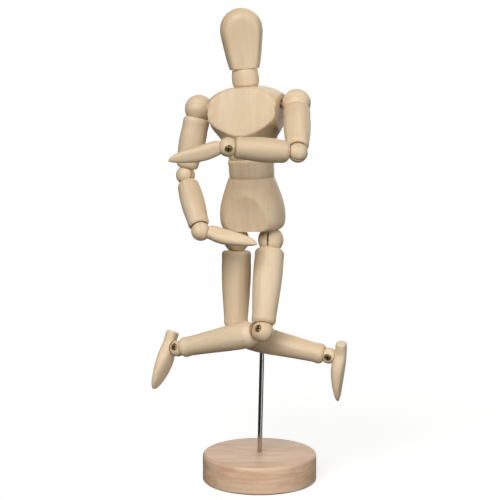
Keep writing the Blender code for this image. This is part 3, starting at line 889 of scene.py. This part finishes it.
def pelvis_mesh(matrix):
    """A turned bell, flat in front and behind, dished for the waist above and the hips below."""
    waist_dish = WAIST_BALL + DISH_GAP
    dish_centre = PELVIS_HEIGHT + WAIST_CENTRE
    side = outside(smooth(PELVIS_SIDE), dish_centre, waist_dish)
    rim_angle = pi - asin(side[-1].x / waist_dish)
    bore_angle = pi - asin(PELVIS_BORE_RADIUS / waist_dish)
    floor, hip_bore_top, rod_room = 14, 15, 0.7
    outline = eased(
        straight((0, 0), side[0]),
        side,
        cap(dish_centre, waist_dish, rim_angle, bore_angle),
        straight((PELVIS_BORE_RADIUS, dish_centre + waist_dish * cos(bore_angle)),
                 (PELVIS_BORE_RADIUS, floor)),
        straight((PELVIS_BORE_RADIUS, floor), (0, floor)),
        ease=0.5,
    )
    rod = matrix.inverted() @ rod_place()
    rod_top = (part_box("rod")[1].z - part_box("rod")[0].z) / MM
    cut = [laid(rod_shape(PELVIS_HOLE_RADIUS, 0, rod_top + rod_room), rod)]
    for x in (-HIP_SIDE, HIP_SIDE):
        cut.append(ball_shape(dish("hip"), (x, 0, -HIP_DROP)))
        bore = rod_shape(BORE_RADIUS, -HIP_DROP, hip_bore_top)
        cut.append(laid(bore, Matrix.Translation((x * MM, 0, 0))))
    return carved(turned(outline, "pelvis", PELVIS_FLATS, blend=0.5), cut=cut)


def rocker(sphere, edge, side, top, bore, name):
    """A bored barrel with a ball-shaped underside and a stepped seat on top: waist or neck."""
    step, seat = side[-1][0] - 2, top + SEAT_STEP
    underside = cap(0, sphere, pi - asin(bore / sphere), pi - asin(edge / sphere))
    outline = eased(
        underside,
        [underside[-1]] + smooth(side),
        straight(side[-1], (step, top)),
        straight((step, top), (step, seat)),
        straight((step, seat), (bore, seat)),
        straight((bore, seat), underside[0]),
        ease=0.09, closed=True,
    )
    return turned(outline, name)


def waist_mesh():
    """The waist's low drum on its ball-shaped underside."""
    top = WAIST_TOP + SEAT_LIFT
    rim = -sqrt(WAIST_BALL**2 - WAIST_EDGE**2)
    side = [(14.3, rim + 1.2), (14.4, rim + 3.2), (14.4, -3.5), (14.3, top - 0.3), (14.1, top)]
    return rocker(WAIST_BALL, WAIST_EDGE, side, top, SPINE_BORE_RADIUS, "waist")


def neck_mesh():
    """The neck's short barrel on its ball-shaped underside."""
    top = NECK_TOP + SEAT_LIFT
    side = [(8.5, -3.6), (8.6, 0), (8.3, 2.6), (7.9, top)]
    return rocker(NECK_BALL, NECK_EDGE, side, top, BORE_RADIUS, "neck")


def chest_mesh():
    """A turned body with a front, a back and two sides planed flat."""
    neck_dish, centre = NECK_BALL + DISH_GAP, CHEST_HEIGHT + NECK_CENTRE
    side = outside(smooth(CHEST_SIDE) + [Vector((0, CHEST_HEIGHT))], centre, neck_dish)
    rim_angle = pi - asin(side[-1].x / neck_dish)
    bore_angle = pi - asin(BORE_RADIUS / neck_dish)
    neck_floor, spine_top, seat_edge = 37.8, 24, 13.8
    outline = eased(
        straight((0, spine_top), (SPINE_BORE_RADIUS, spine_top)),
        straight((SPINE_BORE_RADIUS, spine_top), (SPINE_BORE_RADIUS, 0)),
        straight((SPINE_BORE_RADIUS, 0), (seat_edge, 0)),
        [Vector((seat_edge, 0))] + side,
        cap(centre, neck_dish, rim_angle, bore_angle),
        straight((BORE_RADIUS, centre + neck_dish * cos(bore_angle)), (BORE_RADIUS, neck_floor)),
        straight((BORE_RADIUS, neck_floor), (0, neck_floor)),
        ease=0.4,
    )
    shoulders = Matrix.Translation((0, 0, SHOULDER_HEIGHT * MM)) @ ALONG_X
    cut = [laid(rod_shape(BORE_RADIUS, -THROUGH, THROUGH), shoulders)]
    for x in (-SHOULDER_SIDE, SHOULDER_SIDE):
        cut.append(ball_shape(dish("shoulder"), (x, 0, SHOULDER_HEIGHT)))
    return carved(turned(outline, "chest", CHEST_FLATS, blend=0.6), cut=cut)


def head_mesh():
    """A turned egg with a flat face, and shallower from front to back above the brow."""
    bore_top, seat_edge = 18, 9.0

    def brow(height):
        share = min(max((height - BROW_START) / (BROW_END - BROW_START), 0), 1)
        return 1 - BROW_LOSS * share * share * (3 - 2 * share)

    outline = eased(
        straight((0, bore_top), (BORE_RADIUS, bore_top)),
        straight((BORE_RADIUS, bore_top), (BORE_RADIUS, 0)),
        straight((BORE_RADIUS, 0), (seat_edge, 0)),
        straight((seat_edge, 0), HEAD_SIDE[0]),
        smooth(HEAD_SIDE),
        ease=0.3,
    )
    return turned(outline, "head", FACE_FLAT, blend=1.8, flatten=brow)


def make_torso(frames):
    """The base, the rod, the torso's pieces and the head, with their springs."""
    wood, spring = "limewood", "spring_steel"
    piece("base", base_mesh(), Matrix.Identity(4), "beech", "base")
    piece("rod", rod_mesh(), rod_place(), "rod_steel", "base")
    piece("pelvis", pelvis_mesh(frames["pelvis"]), frames["pelvis"], wood, "pelvis")
    piece("waist", waist_mesh(), frames["waist"], wood, "waist")
    piece("chest", chest_mesh(), frames["chest"], wood, "chest")
    piece("neck", neck_mesh(), frames["neck"], wood, "neck")
    piece("head", head_mesh(), frames["head"], wood, "head")
    spine_coil = coil_mesh(low=-27.5, high=23.5, radius=2.5)
    piece("spine_spring", spine_coil, frames["waist"], spring, "spine_spring")
    piece("neck_spring", coil_mesh(low=-12, high=17), frames["neck"], spring, "neck_spring")
    shoulders = slid(frames["chest"], (0, 0, SHOULDER_HEIGHT)) @ ALONG_X
    ball, _, stem = JOINT_SIZES["shoulder"]
    overlap = 1.5
    reach = SHOULDER_SIDE - ball - stem + overlap
    piece("shoulder_spring", coil_mesh(-reach, reach), shoulders, spring, "chest")


def make_limbs(frames):
    """The balls, screws, springs and limb pieces of both sides."""
    beyond, overlap = 4.5, 3.5
    meshes = {"hand": hand_mesh(), "foot": foot_mesh()}
    for limb in (ARM, LEG):
        for (upper, name), (lower, _) in zip(limb, limb[1:]):
            length = (centre_of(f"left_{lower}_twist") - centre_of(f"left_{upper}_twist")).length
            meshes[name] = limb_mesh(name, upper, lower, length)
    for joint in JOINT_SIZES:
        meshes[joint] = ball_mesh(joint)
        meshes[joint, "screw"] = screw_mesh(joint)
    for side in ("left", "right"):
        for limb, holder in ((ARM, "chest"), (LEG, "pelvis")):
            for joint, name in limb:
                body = f"{side}_{joint}"
                matrix = frames[body]
                piece(f"{body}_ball", meshes[joint], matrix, "limewood", body)
                piece(f"{body}_screw", meshes[joint, "screw"], matrix, "screw_steel", body)
                if joint != "shoulder":
                    ball, _, stem = JOINT_SIZES[joint]
                    end = -ball - stem
                    coil = coil_mesh(end - beyond, end + overlap)
                    piece(f"{body}_spring", coil, matrix, "spring_steel", holder)
                holder = f"{side}_{name}"
                finish = "limewood_across" if name == "foot" else "limewood"
                piece(holder, meshes[name], frames[holder], finish, holder)


# ---------------------------------------------------------------- stage

def make_camera():
    """The camera in front, a little above the figure and tilted down."""
    data = bpy.data.cameras.new("camera")
    data.lens = 112.25
    data.sensor_width = 36
    data.clip_start = 0.05
    data.clip_end = 50
    camera = bpy.data.objects.new("camera", data)
    camera.location = (-0.0063, -1.0, 0.299)
    tilt = 8.3
    camera.rotation_euler = (radians(90 - tilt), 0, 0)
    bpy.context.scene.collection.objects.link(camera)
    bpy.context.scene.camera = camera


def sun_light(name, source, softness, strength, colour=(1, 1, 1)):
    """An even soft light from far away on one side, softness in degrees."""
    data = bpy.data.lights.new(name, "SUN")
    data.angle = radians(softness)
    data.energy = strength * pi
    data.color = colour
    light = bpy.data.objects.new(name, data)
    light.location = source
    light.rotation_euler = Vector(source).to_track_quat("Z", "Y").to_euler()
    bpy.context.scene.collection.objects.link(light)


def stage_piece(name, mesh, material):
    """A part of the surroundings that the camera sees and that casts nothing on the object."""
    mesh.materials.append(material)
    obj = bpy.data.objects.new(name, mesh)
    bpy.context.scene.collection.objects.link(obj)
    obj.visible_diffuse = False
    obj.visible_glossy = False
    obj.visible_shadow = False


def make_stage():
    """A wide pale floor inside a white dome, with soft light from the front left and above."""
    reach = 12
    pale = Nodes("pale_floor")
    pale.shader.inputs["Base Color"].default_value = (0.4, 0.4, 0.4, 1)
    pale.shader.inputs["Emission Color"].default_value = (1, 1, 1, 1)
    pale.shader.inputs["Emission Strength"].default_value = 0.74
    pale.shader.inputs["Roughness"].default_value = 0.9
    pale.shader.inputs["Specular IOR Level"].default_value = 0.0
    shape = bmesh.new()
    low = Matrix.Translation((0, 0, -0.0002))
    bmesh.ops.create_circle(shape, cap_ends=True, radius=reach, segments=96, matrix=low)
    stage_piece("floor", new_mesh(shape, "floor"), pale.material)
    white = Nodes("white_dome")
    white.shader.inputs["Base Color"].default_value = (0, 0, 0, 1)
    white.shader.inputs["Emission Color"].default_value = (1, 1, 1, 1)
    white.shader.inputs["Emission Strength"].default_value = 1.0
    shape = bmesh.new()
    bmesh.ops.create_uvsphere(shape, u_segments=48, v_segments=24, radius=reach)
    stage_piece("dome", new_mesh(shape, "dome"), white.material)
    world = bpy.data.worlds.new("surround")
    world.use_nodes = True
    tree = world.node_tree
    toward = tree.nodes.new("ShaderNodeVectorMath")
    toward.operation = "DOT_PRODUCT"
    toward.inputs[1].default_value = Vector((-0.25, -0.93, 0.28)).normalized()
    tree.links.new(tree.nodes.new("ShaderNodeTexCoord").outputs["Generated"], toward.inputs[0])
    level = tree.nodes.new("ShaderNodeMapRange")
    for socket, value in zip(("From Min", "From Max", "To Min", "To Max"), (-1.0, 1.0, 0.36, 0.78)):
        level.inputs[socket].default_value = value
    tree.links.new(toward.outputs["Value"], level.inputs["Value"])
    tree.links.new(level.outputs["Result"], tree.nodes["Background"].inputs["Strength"])
    bpy.context.scene.world = world
    sun_light("key", (-0.30, -0.72, 0.62), 45, 0.80, (1.0, 0.98, 0.95))
    sun_light("fill", (0.70, -0.70, 0.12), 70, 0.34)
    sun_light("back", (0.25, 0.90, 0.30), 60, 0.42)


def main():
    torso = torso_frames()
    make_torso(torso)
    make_limbs(limb_frames(torso))
    make_camera()
    make_stage()
    bpy.context.scene.view_settings.view_transform = "Standard"


main()
